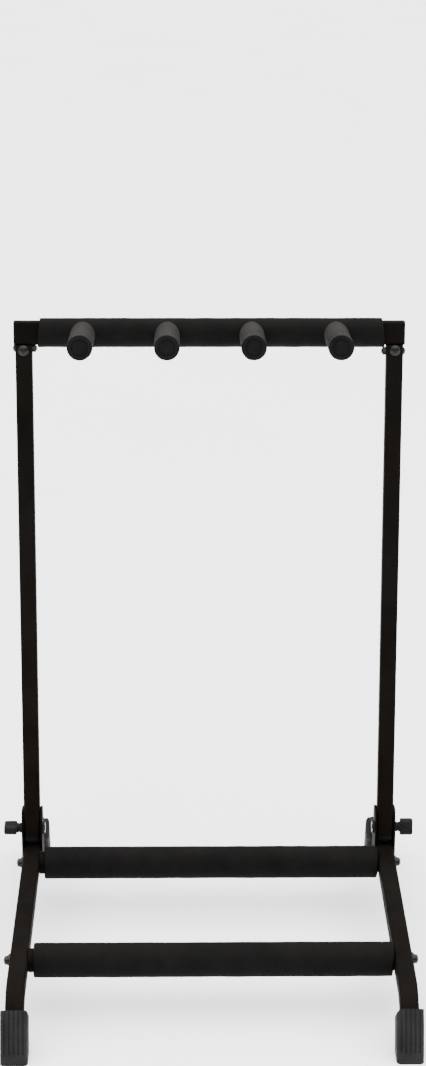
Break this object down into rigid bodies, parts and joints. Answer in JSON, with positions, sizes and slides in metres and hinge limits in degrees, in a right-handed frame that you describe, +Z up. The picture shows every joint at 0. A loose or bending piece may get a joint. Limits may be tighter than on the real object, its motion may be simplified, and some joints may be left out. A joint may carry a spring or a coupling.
{
  "type": "guitar rack",
  "caption": "Folding floor rack that holds guitars side by side on padded base bars, with padded pegs to part their necks; the upper frame folds forward on knob-clamped pivots.",
  "frame": {"origin": "on the floor, under the middle of the rack's outline", "axes": "+Z up, -Y towards the person in front of the rack, which is the way the pegs point, and +X to the right of the rack as that person sees it"},
  "size_m": [0.4634, 0.4626, 0.6722],
  "materials": {
    "black_steel": "satin",
    "foam": "matte",
    "boot_rubber": "satin",
    "knob_plastic": "satin",
    "plug_plastic": "satin",
    "black_hardware": "satin",
    "insert_plastic": "matte"
  },
  "bodies": {
    "base": {"side_rail_left": "black_steel", "side_rail_right": "black_steel", "front_foot_boot_left": "boot_rubber", "front_foot_boot_right": "boot_rubber", "rear_foot_boot_left": "boot_rubber", "rear_foot_boot_right": "boot_rubber", "front_cross_bar": "black_steel", "rear_cross_bar": "black_steel", "front_bar_threaded_inserts": "insert_plastic", "rear_bar_threaded_inserts": "insert_plastic", "front_bar_foam": "foam", "rear_bar_foam": "foam", "cross_bar_bolts": "black_hardware", "cross_bar_washers": "black_hardware", "pivot_bracket_left": "black_steel", "pivot_bracket_right": "black_steel", "clamp_nuts": "black_hardware"},
    "upper_frame": {"upright_left": "black_steel", "upright_right": "black_steel", "upright_plug_left": "plug_plastic", "upright_plug_right": "plug_plastic", "top_cross_tube": "black_steel", "top_tube_end_plugs": "plug_plastic", "top_tube_stub_left": "black_steel", "top_tube_stub_right": "black_steel", "top_cross_bolts": "black_hardware", "top_cross_nuts": "black_hardware", "upright_front_screws": "black_hardware", "top_bar_foam": "foam", "peg_tube_1": "black_steel", "peg_tube_2": "black_steel", "peg_tube_3": "black_steel", "peg_tube_4": "black_steel", "peg_foam_1": "foam", "peg_foam_2": "foam", "peg_foam_3": "foam", "peg_foam_4": "foam", "peg_cap_1": "plug_plastic", "peg_cap_2": "plug_plastic", "peg_cap_3": "plug_plastic", "peg_cap_4": "plug_plastic"},
    "knob_left": {"clamp_knob_left": "knob_plastic", "clamp_stud_left": "black_hardware"},
    "knob_right": {"clamp_knob_right": "knob_plastic", "clamp_stud_right": "black_hardware"}
  },
  "joints": [
    {"name": "frame_fold", "type": "hinge", "parent": "base", "child": "upper_frame", "pos_m": [0, 0.1245, 0.084], "axis": [1, 0, 0], "range_deg": [0, 94]},
    {"name": "knob_left_turn", "type": "hinge", "parent": "base", "child": "knob_left", "pos_m": [-0.2, 0.1245, 0.084], "axis": [-1, 0, 0], "range_deg": [0, 450]},
    {"name": "knob_right_turn", "type": "hinge", "parent": "base", "child": "knob_right", "pos_m": [0.2, 0.1245, 0.084], "axis": [1, 0, 0], "range_deg": [0, 450]}
  ]
}
